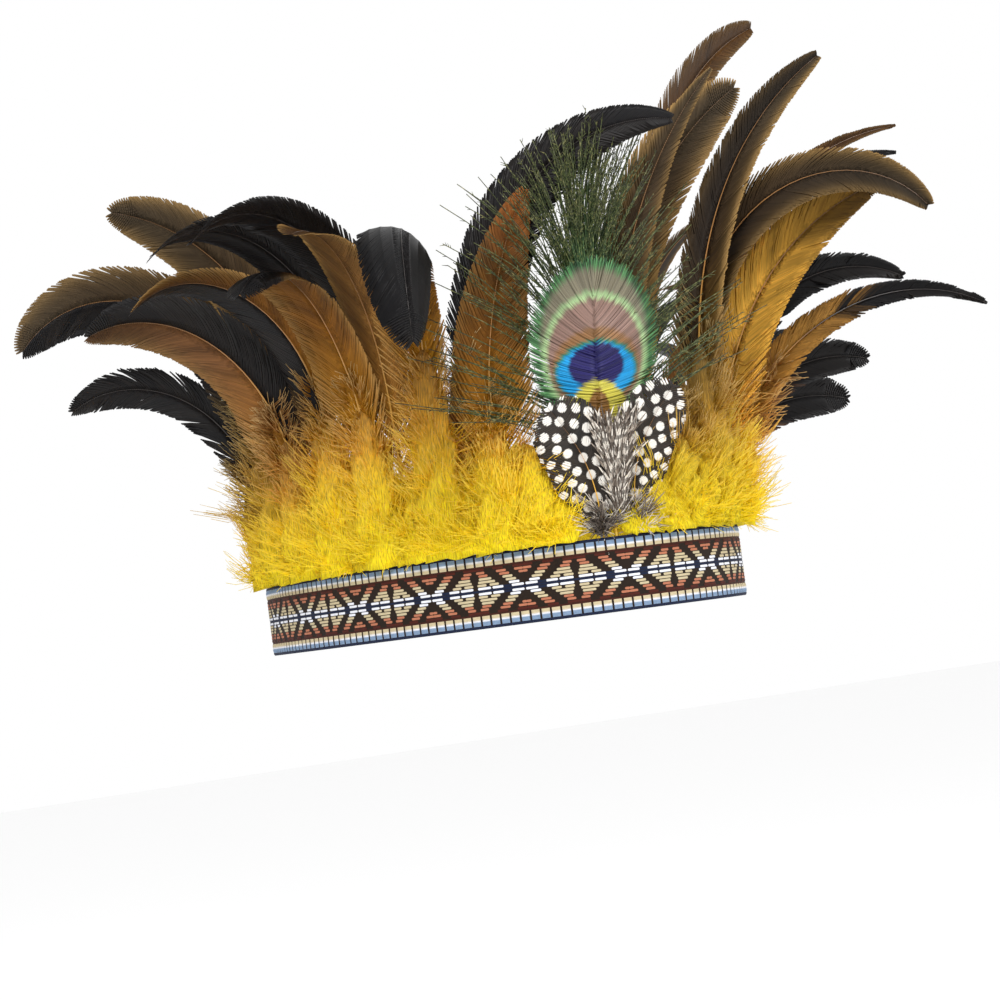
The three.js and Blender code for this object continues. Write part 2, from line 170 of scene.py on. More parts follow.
turns = np.linspace(0, 2 * np.pi, 7201)
loop_points = np.stack([-HALF_WIDTH * np.sin(turns), -HALF_DEPTH * np.cos(turns)], 1)
loop_lengths = np.concatenate([[0], np.cumsum(np.linalg.norm(np.diff(loop_points, axis=0), axis=1))])
RIBBON_LENGTH = loop_lengths[-1]


def ribbon_place(at):
    """Points on the ribbon's middle line, and the directions sideways and outward from them.

    at is the distance along the ribbon from the middle of the brow.
    """
    turn = np.interp(np.mod(at, RIBBON_LENGTH), loop_lengths, turns)
    level = np.zeros_like(turn)
    point = np.stack([-HALF_WIDTH * np.sin(turn), -HALF_DEPTH * np.cos(turn), level], -1)
    sideways = unit(np.stack([-HALF_WIDTH * np.cos(turn), HALF_DEPTH * np.sin(turn), level], -1))
    outward = np.stack([-sideways[..., 1], sideways[..., 0], level], -1)
    return point, sideways, outward


def turned(v, axis, angle):
    """v turned about unit axis by angle, in radians."""
    c, s = np.cos(angle)[..., None], np.sin(angle)[..., None]
    along = np.sum(v * axis, axis=-1, keepdims=True)
    return v * c + np.cross(axis, v) * s + axis * along * (1 - c)


class Shaft:
    """A feather's shaft: points, and the directions along it, across the vane and out of its face."""

    STEPS = 240

    def __init__(self, feather):
        self.feather = feather
        share = np.linspace(0, 1, self.STEPS + 1)
        along = share * feather["length"]
        point, sideways, outward = ribbon_place(feather["at"])
        ease = smooth(along, TUCKED, TUCKED + EASE)
        curl = np.clip((share - BEND_START) / (1 - BEND_START), 0, None) ** BEND_POWER
        to_side = np.radians(feather["lean"] * ease + feather["side"] * curl)
        to_front = np.radians(feather["flare"] * ease + feather["out"] * curl)
        angle = np.hypot(to_side, to_front)
        tilt = unit(to_side[:, None] * sideways + to_front[:, None] * outward)
        up = np.array([0.0, 0, 1])
        axis = np.cross(up, tilt)
        self.heading = np.cos(angle)[:, None] * up + np.sin(angle)[:, None] * tilt
        across = turned(np.broadcast_to(sideways, self.heading.shape), axis, angle)
        twist = np.full(len(share), math.radians(feather["turn"]))
        self.across = turned(across, self.heading, twist)
        self.face = np.cross(self.heading, self.across)
        step = self.heading * feather["length"] / self.STEPS
        run = np.concatenate([np.zeros((1, 3)), np.cumsum(step[:-1], axis=0)])
        parted = feather["row"] * ROW_STEP * smooth(along, TUCKED, TUCKED + ROW_SPREAD)
        self.point = point + run - outward * (QUILL_INSET + parted[:, None])
        self.point[:, 2] += QUILL_FOOT_Z
        self.share = share

    def at(self, share):
        """Point, heading, across and face at shares of the length."""
        share = np.asarray(share, float)
        found = []
        for values in (self.point, self.heading, self.across, self.face):
            found.append(np.stack([np.interp(share, self.share, values[:, i]) for i in range(3)], -1))
        return found

    def half_width(self, share):
        """Half of the vane's width."""
        feather = self.feather
        rise = smooth(share, feather.get("vane_start", VANE_START), feather.get("vane_full", VANE_FULL))
        end_length = lerp(POINTED_END, ROUND_END, feather["round"])
        end = np.clip((share - 1 + end_length) / end_length, 0, 1)
        power = lerp(POINTED_POWER, ROUND_POWER, feather["round"])
        return feather["width"] / 2 * rise * np.clip(1 - end ** power, 0, 1) ** (1 / power)

    def surface(self, share, across):
        """Points on the vane, at distances across from the shaft."""
        point, _, side, face = self.at(share)
        half = np.maximum(self.half_width(share), 1)
        cup = -EDGES_IN.get(self.feather["name"], VANE_CUP) * across ** 2 / half
        return point + side * across[..., None] + face * cup[..., None]


# ---- Strips ---------------------------------------------------------------------------
BARB_SLOT, SHAFT_SLOT = 0, 1      # a plume's materials


class Strands:
    """Collects slim closed strips and soft bodies, and makes them one mesh.

    Each point also gets values: its place on the UV map, u and v, and the numbers that the
    materials read. All the strips of one plume have the same values.
    """

    def __init__(self):
        self.points, self.faces, self.values = [], [], {}
        self.count = 0

    def collect(self, points, quads, ends, slot):
        self.points.append(points)
        self.faces.append((quads, ends, slot))
        self.count += len(points)

    def add(self, path, half, wide, ridge, slot=BARB_SLOT, **values):
        """Closed strips with a three-cornered section.

        path, wide and ridge are (strips, stations, 3), and half is (strips, stations).
        """
        strips, stations, _ = path.shape
        # The three corners run anticlockwise seen from the strip's end, so that its faces look out.
        flow = np.gradient(path, axis=1)
        turn = np.sign(np.sum(np.cross(wide, ridge) * flow, axis=(1, 2)))
        half = half[..., None] * np.where(turn < 0, -1, 1)[:, None, None]
        corners = np.stack([path - wide * half, path + wide * half, path + ridge], 2)
        index = self.count + np.arange(strips * stations * 3).reshape(strips, stations, 3)
        a, b = index[:, :-1], index[:, 1:]
        quads = np.stack([a, np.roll(a, -1, 2), np.roll(b, -1, 2), b], -1).reshape(-1, 4)
        ends = np.concatenate([index[:, 0, ::-1], index[:, -1]])
        self.collect(corners.reshape(-1, 3), quads, ends, slot)
        for name, value in values.items():
            value = np.broadcast_to(np.asarray(value, float), (strips, stations))
            self.values.setdefault(name, []).append(np.repeat(value[..., None], 3, 2).ravel())

    def body(self, grid, slot=BARB_SLOT, **values):
        """A closed body from rings of points: grid is (rings, sides, 3)."""
        rings, sides, _ = grid.shape
        caps = grid[[0, -1]].mean(1)
        index = self.count + np.arange(rings * sides).reshape(rings, sides)
        beside = np.roll(index, -1, 1)
        quads = np.stack([index[:-1], index[1:], beside[1:], beside[:-1]], -1).reshape(-1, 4)
        foot = self.count + rings * sides
        ends = np.concatenate([
            np.stack([np.full(sides, foot), index[0], beside[0]], -1),
            np.stack([np.full(sides, foot + 1), beside[-1], index[-1]], -1)])
        self.collect(np.concatenate([grid.reshape(-1, 3), caps]), quads, ends, slot)
        for name, value in values.items():
            value = np.broadcast_to(np.asarray(value, float), (rings, sides))
            self.values.setdefault(name, []).append(np.append(value.ravel(), value[[0, -1], 0]))

    def mesh(self, name, materials):
        """The finished plume."""
        points = np.concatenate(self.points) * MM
        sizes, corners, slots = [], [], []
        for quads, ends, slot in self.faces:
            corners += [quads.ravel(), ends.ravel()]
            sizes += [np.full(len(quads), 4), np.full(len(ends), 3)]
            slots.append(np.full(len(quads) + len(ends), slot))
        sizes, corners = np.concatenate(sizes), np.concatenate(corners)
        mesh = bpy.data.meshes.new(name)
        mesh.vertices.add(len(points))
        mesh.vertices.foreach_set("co", points.astype(np.float32).ravel())
        mesh.loops.add(len(corners))
        mesh.loops.foreach_set("vertex_index", corners.astype(np.int32))
        mesh.polygons.add(len(sizes))
        mesh.polygons.foreach_set("loop_start", (np.cumsum(sizes) - sizes).astype(np.int32))
        mesh.polygons.foreach_set("material_index", np.concatenate(slots).astype(np.int32))
        values = {key: np.concatenate(parts) for key, parts in self.values.items()}
        place = np.stack([values.pop("u")[corners], values.pop("v")[corners]], 1)
        for key, value in values.items():
            attribute = mesh.attributes.new(key, "FLOAT", "POINT")
            attribute.data.foreach_set("value", value.astype(np.float32))
        uv = mesh.uv_layers.new(name="OFBake")
        uv.data.foreach_set("uv", place.astype(np.float32).ravel())
        for material in materials:
            mesh.materials.append(material)
        mesh.update()
        mesh.validate()
        piece = bpy.data.objects.new(name, mesh)
        bpy.context.scene.collection.objects.link(piece)
        return piece


# ---- Feathers ---------------------------------------------------------------------------
BARB_STATIONS = 5
BARB_SPACING = 0.75               # real barbs stand 0.3 mm apart: drawn coarser, so that they show
BARB_THICKNESS = 0.14
BARB_OVERLAP = 0.62               # half a barb's width, for each unit of spacing
BARB_SWEEP = 1.25                 # a barb bends up towards the tip by this power
CLUMP_WIDTH, RAGGED_CLUMP_WIDTH = 16, 7
DOWNY_END = 0.42                  # the barbs below here are loose
VANE_FOOT = DOWNY_END - 0.12      # and the lowest one of a hackle's vane
LAST_BARB = 0.985
DOWN_FOOT_Z = 25.4                # the lowest down, just above the ribbon
LOOSE_HAIRS = 170                 # loose barbs on an inner feather's foot
TUFT_HAIRS = 880                  # on an outer one's
STUB_HAIRS = 330                  # and on a stub's
HAIR_HALF_WIDTH = 0.16
LOCK_SIZE = 6                     # loose barbs that stand out together
HAIR_DROOP = 4.5                  # how far below DOWN_FOOT_Z a loose barb may end
CORE_RINGS, CORE_SIDES = 26, 22
CORE_DEPTH, CORE_FORWARD = 0.62, 0.25  # the core's depth and its shift forward, for each unit of width
LAP = 0.7                         # how far down in front of the ribbon droops over its edge
DYED_HEIGHT, DYED_TONE = 46, 0.28  # the dyed foot's height, and its end in the plumage's colours
STEM_U = 0.992                    # the strip of the UV map that holds the shaft
SOFT = {"dark": 0, "down": 1, "rim": 0, "bright": 0}  # values of barbs that aren't part of a vane


def tone(shaft, share):
    """The place in the plumage's colours. The dyed foot is as tall on long feathers as on short."""
    length = shaft.feather["length"]
    return np.interp(share * length, (0, min(DYED_HEIGHT, 0.5 * length), length), (0, DYED_TONE, 1))


def shaft_strip(strands, shaft, share, half, depth, **values):
    """The rachis: two strips, back and front."""
    point, _, across, face = shaft.at(share)
    for sign in (1, -1):
        strands.add(point[None], half[None], (across * sign)[None], (face * depth[:, None] * sign)[None],
                    SHAFT_SLOT, u=share, v=STEM_U, lot=0.5, across=0, up=0, **values)


def rachis(strands, shaft, radius=QUILL_RADIUS):
    """A shaft that tapers towards the tip."""
    share = np.linspace(0, LAST_BARB, 40)
    half = radius * lerp(1, 0.16, smooth(share, 0.05, 1) ** 0.7)
    half = np.where(share < 0.12, radius, half)
    dark_from = shaft.feather["dark_from"]
    shaft_strip(strands, shaft, share, half, half * 0.9, along=tone(shaft, share), reach=0,
                dark=smooth(share, dark_from - 0.15, dark_from), down=0, rim=0, bright=0)


def vane(strands, shaft, rng, spacing=BARB_SPACING, start=VANE_FOOT, lean=1.5, split=0.25):
    """The barbs of both halves, in clumps that part a little at the edge.

    A barb of the vane reaches lean times its own length up the feather. split is how far the
    clumps part.
    """
    feather = shaft.feather
    length = feather["length"]
    for side in (-1, 1):
        count = int((LAST_BARB - start) * length / spacing)
        root = np.linspace(start, LAST_BARB, count)
        tip = root.copy()
        for _ in range(4):
            tip = np.minimum(root + shaft.half_width(tip) * lean / length, 0.998)
        clump_width = lerp(CLUMP_WIDTH, RAGGED_CLUMP_WIDTH, smooth(split, 0.3, 1.2))
        clump = np.cumsum(rng.random(count) < spacing / clump_width)
        clumps = clump[-1] + 1
        advance = rng.normal(0, split / length, clumps)[clump] + rng.normal(0, 0.4 / length, count)
        lift = rng.normal(0, 0.2 + 0.2 * split, clumps)[clump] + rng.normal(0, 0.05, count)
        short = 1.01 - 0.05 * split * rng.random(clumps)[clump] - 0.03 * rng.random(count) ** 2
        loose = smooth(root, start + 0.16, start)
        short = short * (1 + 0.35 * loose * rng.random(count))
        tip = np.clip(tip + advance * smooth(tip, 1, 0.8), root, 0.999)
        t = np.linspace(0, 1, BARB_STATIONS)
        share = root[:, None] + (tip - root)[:, None] * t ** BARB_SWEEP
        reach = np.maximum(shaft.half_width(tip), 0.4)[:, None] * short[:, None] * t * side
        path = shaft.surface(share, reach)
        _, _, _, face = shaft.at(share)
        path = path + face * (lift[:, None] * t ** 2)[..., None]
        path = path + face * (loose[:, None] * rng.normal(0, 2, (count, 1)) * t)[..., None]
        flow = unit(np.gradient(path, axis=1))
        wide = unit(np.cross(face, flow))
        tilted = unit(wide + face * 0.12 * side)
        half = spacing * BARB_OVERLAP * np.where(t < 0.9, 1, 0.5) * (1 - 0.55 * loose[:, None])
        ridge = np.cross(flow, tilted)
        ridge = ridge * np.sign(np.sum(ridge * face, -1, keepdims=True)) * BARB_THICKNESS
        black_half = max(side * feather["dark_side"], 0)
        uneven = root + rng.normal(0, 0.012, count) + 0.02 * rng.normal(0, 1, clumps)[clump]
        black_tip = smooth(uneven, feather["dark_from"] - 0.06, feather["dark_from"] + 0.05)
        black_half = black_half * smooth(root, start, start + 0.14)
        strands.add(path, half, tilted, ridge, u=share, v=0.4 + 0.36 * (reach / (feather["width"] / 2)),
                    along=tone(shaft, share), reach=t,
                    lot=(0.6 * rng.random(clumps)[clump] + 0.4 * rng.random(count))[:, None],
                    dark=np.maximum(black_tip, black_half)[:, None], down=0.75 * loose[:, None],
                    across=reach, up=share * length, rim=feather["rim"],
                    bright=BRIGHT.get(feather["name"], 0))


def loose_barbs(strands, shaft, rng, count, long, core, top):
    """Down: soft barbs that stand out all round the lower shaft, in small locks.

    long is the length of the longest, core the radius of the soft core that they stand out of,
    and top the share of the feather's length where they end.
    """
    foot = (DOWN_FOOT_Z - QUILL_FOOT_Z) / shaft.feather["length"]
    lock_count = max(count // LOCK_SIZE, 1)
    lock = rng.integers(0, lock_count, count)
    place = rng.random(lock_count) ** 1.35
    root = lerp(foot, top, np.clip(place[lock] + rng.normal(0, 0.03, count), 0, 1))
    point, heading, across, face = shaft.at(root)
    # Most locks stand out to the sides and the front, and some of them anywhere.
    turn = rng.uniform(-1, 1, lock_count) * np.where(rng.random(lock_count) < 0.8, 1.75, 3.1)
    turn = turn[lock] + rng.normal(0, 0.16, count)
    rise = rng.uniform(0.1, 1.1, lock_count)[lock] + rng.normal(0, 0.15, count)
    aim = unit(across * np.sin(turn)[:, None] + face * np.cos(turn)[:, None] + heading * rise[:, None])
    height = smooth(root, foot, top)
    swell = core * core_swell((root - foot) / (top - foot)) * 0.75
    point = point + across * (swell * np.sin(turn))[:, None] + face * (swell * 0.6 * np.cos(turn))[:, None]
    size = long * lerp(1, 0.55, height) * rng.uniform(0.55, 1.1, lock_count)[lock]
    size = size * rng.uniform(0.7, 1.1, count)
    size = size * lerp(0.8, 1, np.abs(np.sin(turn)))
    bend = rng.normal(0, 0.22, (lock_count, 3))[lock] + rng.normal(0, 0.08, (count, 3))
    wave = rng.normal(0, 0.05, (count, 3))
    t = np.linspace(0, 1, 4)
    path = (point[:, None] + aim[:, None] * (size[:, None] * t)[..., None]
            + heading[:, None] * (0.3 * size[:, None] * t ** 2)[..., None]
            + (size[:, None] * bend)[:, None] * (t ** 2)[:, None]
            + (size[:, None] * wave)[:, None] * np.sin(t * 6)[:, None])
    # The lowest ones droop, but only a little way in front of the ribbon.
    low = smooth(root, foot + 0.14, foot) * rng.uniform(0, 7, count)
    path[..., 2] -= low[:, None] * t ** 2
    lowest = DOWN_FOOT_Z - HAIR_DROOP * t ** 2 + rng.uniform(0, 1.5, (count, 1))
    path[..., 2] = np.maximum(path[..., 2], lowest)
    flow = unit(np.gradient(path, axis=1))
    wide = unit(np.cross(flow, rng.normal(0, 1, (count, 1, 3))))
    half = HAIR_HALF_WIDTH * np.array([1, 0.95, 0.75, 0.3]) * np.ones((count, 1))
    strands.add(path, half, wide, np.cross(flow, wide) * HAIR_HALF_WIDTH,
                u=root[:, None], v=0.82 + 0.15 * t, along=tone(shaft, root)[:, None], reach=t,
                lot=(0.6 * rng.random(lock_count)[lock] + 0.4 * rng.random(count))[:, None],
                across=0, up=0, **SOFT)


def core_swell(t):
    """The core's radius along it, from foot to top, as a share of its greatest."""
    return np.clip(1 - (2 * lerp(0.12, 1, np.clip(t, 0, 1)) ** 0.62 - 1) ** 2, 0, 1) ** 0.5


def soft_core(strands, shaft, rng, size, top):
    """The thick of the down, that the loose barbs stand out of: a lumpy closed body on the shaft."""
    share = np.linspace((DOWN_FOOT_Z - QUILL_FOOT_Z) / shaft.feather["length"], top - 0.07, CORE_RINGS)
    point, _, across, face = shaft.at(share)
    t = np.linspace(0, 1, CORE_RINGS)[:, None]
    around = np.linspace(0, 2 * np.pi, CORE_SIDES, endpoint=False)[None]
    swell = core_swell(t)
    lumps = np.zeros((CORE_RINGS, CORE_SIDES))
    for _ in range(10):
        waves, climb, phase = rng.integers(2, 9), rng.uniform(8, 34), rng.uniform(0, 6.3)
        lumps += rng.uniform(0.04, 0.08) * np.sin(waves * around + climb * t + phase)
    radius = size * swell * (1 + lumps)
    forward = radius * np.cos(around) * CORE_DEPTH + CORE_FORWARD * size * swell
    side = (radius * np.sin(around))[..., None] * across[:, None]
    body = point[:, None] + side + forward[..., None] * face[:, None]
    # Down in front of the ribbon laps over its edge.
    lap = smooth(forward, 3.2, 4.2) * (1 + 5 * lumps)
    body[..., 2] = np.maximum(body[..., 2], RIBBON_HEIGHT + 0.1)
    body[..., 2] -= LAP * lap * smooth(body[..., 2], RIBBON_HEIGHT + 3, RIBBON_HEIGHT)
    strands.body(body, u=share[:, None], v=0.80, along=tone(shaft, share)[:, None],
                 reach=0.2 + 0.3 * (1 + lumps), lot=0.5, across=radius * np.sin(around), up=t * 60, **SOFT)


def down(strands, shaft, rng, count, long, core, top):
    """A tuft of down: its core, and the loose barbs that stand out of it."""
    soft_core(strands, shaft, rng, core, top)
    loose_barbs(strands, shaft, rng, count, long, core, top)


def hackle(feather, seed, materials):
    """A cock's feather: shaft, vane and downy foot, and the stubs of down that stand beside it."""
    rng = np.random.default_rng(seed)
    shaft = Shaft(feather)
    strands = Strands()
    rachis(strands, shaft)
    vane(strands, shaft, rng, split=1.3 if feather["name"] in RAGGED else 0.25)
    if feather["down"]:
        down(strands, shaft, rng, TUFT_HAIRS, long=14, core=8.5, top=0.5)
    else:
        down(strands, shaft, rng, LOOSE_HAIRS, long=12, core=5, top=0.32)
    for owner, at, row, length, top in STUBS:
        if owner == feather["name"]:
            stub = {**feather, "at": at, "row": row, "length": length, "side": 0, "out": 20, "flare": 4}
            down(strands, Shaft(stub), rng, STUB_HAIRS, long=15, core=8, top=top)
    return strands.mesh(feather["name"] + "_plume", materials)


# ---- Guinea-fowl feathers -------------------------------------------------------------------
RUFF_BARBS = 420
RUFF_HALF_WIDTH = 0.32


def ruff(strands, rng):
    """Soft barred barbs that stand up between the two spotted vanes, in a wedge."""
    shaft = Shaft(RUFF)
    count = RUFF_BARBS
    root = rng.uniform(0.34, 0.80, count)
    point, heading, across, face = shaft.at(root)
    place = rng.uniform(-1, 1, count)
    fan = 0.35 * place + rng.normal(0, 0.22, count)
    point = point + across * (place * lerp(1, 8, smooth(root, 0.3, 0.95)))[:, None]
    size = rng.uniform(5, 10, count)
    aim = heading * np.cos(fan)[:, None] + across * np.sin(fan)[:, None]
    t = np.linspace(0, 1, 5)
    bow = rng.normal(0.12, 0.14, count)[:, None] * size[:, None] * t ** 2
    path = point[:, None] + aim[:, None] * (size[:, None] * t)[..., None] + face[:, None] * bow[..., None]
    path = path + across[:, None] * (rng.normal(0, 1.2, (count, 1)) * t ** 2)[..., None]
    flow = unit(np.gradient(path, axis=1))
    wide = unit(np.cross(face[:, None], flow))
    half = RUFF_HALF_WIDTH * np.array([0.8, 1, 1, 0.8, 0.3]) * np.ones((count, 1))
    up = (root * RUFF["length"])[:, None] + size[:, None] * t
    strands.add(path, half, wide, face[:, None] * 0.12 + 0 * path, u=root[:, None], v=0.83 + 0.14 * t,
                along=root[:, None], reach=t, lot=rng.random((count, 1)), across=0, up=up, **SOFT)


def guinea_feather(feather, seed, materials):
    """A round spotted vane with a soft grey foot. The left one also carries the ruff."""
    rng = np.random.default_rng(seed)
    shaft = Shaft(feather)
    strands = Strands()
    if feather["name"].endswith("left"):
        ruff(strands, rng)
    rachis(strands, shaft, radius=0.6)
    vane(strands, shaft, rng, spacing=0.55, start=0.2, lean=1.1, split=0.8)
    loose_barbs(strands, shaft, rng, 260, long=11, core=1, top=0.45)
    return strands.mesh(feather["name"] + "_plume", materials)


# ---- Peacock feather --------------------------------------------------------------------------
EYE_BARBS = 170                   # on each side
EYE_PROUD = 1.1                   # the eye's barbs lie this far in front of the shaft
HERL_STRANDS = 400
HERL_BARBULES = 15                # real ones are countless: fewer and coarser, so that they show


def peacock_eye(strands, shaft, rng):
    """The dense barbs of the eye: they leave the shaft and sweep up to an oval outline."""
    count = EYE_BARBS
    length = shaft.feather["length"]
    turn = np.radians(np.linspace(-94, 90, count))
    place = np.linspace(0, 1, count)
    t = np.linspace(0, 1, 9)
    s = t[None, :, None]
    for side in (-1, 1):
        reach = 1 + rng.uniform(0.02, 0.10, count)
        end = np.stack([EYE_HALF_WIDTH * np.cos(turn) * reach, EYE_HALF_HEIGHT * np.sin(turn) * reach], -1)
        root = np.stack([-0.3 + 0 * turn, EYE_HALF_HEIGHT * lerp(-1.22, 0.62, place ** 1.15)], -1)
        bend = root + np.stack([0.52 * end[:, 0], 0.3 * (end[:, 1] - root[:, 1])], -1)
        flat = root[:, None] * (1 - s) ** 2 + bend[:, None] * 2 * s * (1 - s) + end[:, None] * s ** 2
        x, y = flat[..., 0] * side, flat[..., 1]
        along = (y + EYE_MIDDLE) / length
        past_tip = np.maximum(along - 1, 0) * length
        point, heading, across, face = shaft.at(np.minimum(along, 1))
        path = point + across * x[..., None] + heading * past_tip[..., None]
        path = path + face * (EYE_PROUD + rng.normal(0, 0.08, (count, 1)) - 0.0035 * x ** 2)[..., None]
        flow = unit(np.gradient(path, axis=1))
        wide = unit(np.cross(face, flow))
        half = lerp(0.40, 0.30, t) * np.where(t < 0.95, 1, 0.3) * np.ones((count, 1))
        strands.add(path, half, wide, face * 0.16, u=0.5 + x / 60, v=0.28 + y / 130,
                    across=x, up=y, lot=rng.random((count, 1)), along=t, kind=0)


def peacock_herl(strands, shaft, rng):
    """Long loose barbs round the eye, each with a fuzz of barbules."""
    count, barbules = HERL_STRANDS, HERL_BARBULES
    table = np.array(HERL, float)
    bundle = rng.choice(len(table), count, p=HERL_SHARE)
    place = np.clip(bundle + rng.normal(0, 0.24, count), 0, len(table) - 1)
    start, reach, rise = (np.interp(place, np.arange(len(table)), column) for column in table.T)
    point, heading, across, face = shaft.at(start / shaft.feather["length"])
    reach = reach * rng.uniform(0.6, 1.06, count)
    grow = 1.04 - 0.5 * rng.random(count) ** 1.6
    t = np.linspace(0, 1, 10)
    bend = rng.normal(1.34, 0.12, count)[:, None]
    lift = rng.normal(0.76, 0.05, count)[:, None]
    drop = rng.uniform(-12, 2, count)
    behind = rng.uniform(-3, -1, count)[:, None]
    forward = rng.uniform(3, 9, count)[:, None] * smooth(t, 0.4, 1)
    path = (point[:, None] + across[:, None] * ((reach * grow)[:, None] * t ** bend)[..., None]
            + np.array([0.0, 0, 1]) * ((rise * grow)[:, None] * t ** lift)[..., None]
            + heading[:, None] * (drop[:, None] * (1 - t) ** 2)[..., None]
            + face[:, None] * (behind + forward)[..., None])
    sway = rng.normal(0, 1.2, (count, 3))
    path = path + sway[:, None] * np.sin(t * 4)[:, None]
    flow = unit(np.gradient(path, axis=1))
    wide = unit(np.cross(face[:, None], flow))
    half = lerp(0.30, 0.14, t) * np.ones((count, 1))
    lot = rng.random((count, 1))
    strands.add(path, half, wide, np.cross(flow, wide) * 0.22, u=0.02 + 0.96 * t, v=0.62 + 0.36 * lot,
                across=60 * t, up=200 * lot, lot=lot, along=t, kind=1)
    at = rng.uniform(0.3, 1, (count, barbules))
    step = at * (len(t) - 1)
    low = np.minimum(step.astype(int), len(t) - 2)
    part = (step - low)[..., None]
    rows = np.arange(count)[:, None]
    foot = path[rows, low] * (1 - part) + path[rows, low + 1] * part
    out = wide[rows, low] * np.where(rng.random((count, barbules)) < 0.5, -1, 1)[..., None]
    aim = unit(flow[rows, low] + out * rng.uniform(0.5, 1.1, (count, barbules))[..., None]
               + face[:, None] * rng.normal(0, 0.4, (count, barbules))[..., None])
    long = rng.uniform(1.0, 2.2, (count, barbules))[..., None]
    fuzz = np.stack([foot, foot + aim * long], 2).reshape(-1, 2, 3)
    flow = unit(np.gradient(fuzz, axis=1))
    wide = unit(np.cross(flow, np.repeat(face, barbules, 0)[:, None]))
    at = at.reshape(-1, 1)
    strands.add(fuzz, np.array([0.16, 0.05]) * np.ones((len(fuzz), 1)), wide, np.cross(flow, wide) * 0.12,
                u=at, v=np.repeat(0.62 + 0.36 * lot, barbules, 0), across=60 * at, up=50,
                lot=rng.random((len(fuzz), 1)), along=at, kind=1)


def peacock_feather(seed, materials):
    """The peacock's feather: shaft, eye and loose herl."""
    rng = np.random.default_rng(seed)
    shaft = Shaft(PEACOCK)
    strands = Strands()
    share = np.linspace(0, 0.95, 40)
    half = lerp(1.0, 0.3, share)
    shaft_strip(strands, shaft, share, half, half, along=share, kind=0)
    peacock_eye(strands, shaft, rng)
    peacock_herl(strands, shaft, rng)
    return strands.mesh("peacock_plume", materials)


# ---- Materials ---------------------------------------------------------------------------
def linear(hex_color):
    """A linear colour from an sRGB hex value."""
    parts = [(hex_color >> shift & 255) / 255 for shift in (16, 8, 0)]
    return [p / 12.92 if p <= 0.04045 else ((p + 0.055) / 1.055) ** 2.4 for p in parts] + [1]


def add_node(tree, kind, *values, output="", stops=(), **settings):
    """Adds a node and gives one of its outputs: the first in use, or the one named by output.

    kind is a shader node's name, or in capitals what a Math node does. values fill the inputs in
    use, in their order. settings are the node's own properties, in small letters, and inputs by
    name. An input gets a number, a colour or another node's output. stops are the places and
    colours of a ramp.
    """
    if kind.isupper():
        kind, settings = "Math", {"operation": kind}
    made = tree.nodes.new("ShaderNode" + kind)
    for key, value in settings.items():
        if key.islower():
            setattr(made, key, value)
    filled = list(zip([socket for socket in made.inputs if socket.enabled], values))
    filled += [(made.inputs[key.replace("_", " ")], settings[key]) for key in settings if key[0].isupper()]
    for socket, value in filled:
        if isinstance(value, bpy.types.NodeSocket):
            tree.links.new(value, socket)
        else:
            socket.default_value = value
    if stops:
        elements = made.color_ramp.elements
        while len(elements) < len(stops):
            elements.new(0.5)
        for element, (place, color) in zip(elements, stops):
            element.position = place
            element.color = linear(color)
    return next((socket for socket in made.outputs if socket.enabled and output in ("", socket.name)), None)


def new_material(name):
    """An empty material, and the function that adds its nodes."""
    material = bpy.data.materials.new(name)
    material.use_nodes = True
    material.node_tree.nodes.clear()
    return material, functools.partial(add_node, material.node_tree)


def shaded(node, color, lightness):
    """A colour made lighter or darker by a number."""
    grey = node("CombineColor", lightness, lightness, lightness)
    return node("Mix", 1.0, color, grey, data_type="RGBA", blend_type="MULTIPLY")


# The ground colours from the foot of the feather to its tip, dyed yellow at the foot.
GROUNDS = {
    "golden": ((0, 0xF8EC00), (0.28, 0xF2D408), (0.37, 0xDCA41A), (0.46, 0xAC7418),
               (0.62, 0x784B14), (0.85, 0x50330F)),
    "olive": ((0, 0xF8EC00), (0.24, 0xE8CC14), (0.34, 0xB88A1E), (0.46, 0x7A5A20),
              (0.64, 0x44321E), (0.9, 0x453929)),
    "brown": ((0, 0xF8EC00), (0.24, 0xEED014), (0.34, 0xD0962A), (0.46, 0xA26C30),
              (0.64, 0x7A5230), (0.9, 0x4E341C)),
    "black": ((0, 0xF8EC00), (0.24, 0xE0BC14), (0.34, 0x9A701E), (0.46, 0x4A321A),
              (0.6, 0x241A13), (0.9, 0x19140F)),
}
BARB_SLANT = 1.5                  # how far a barb climbs for each unit across


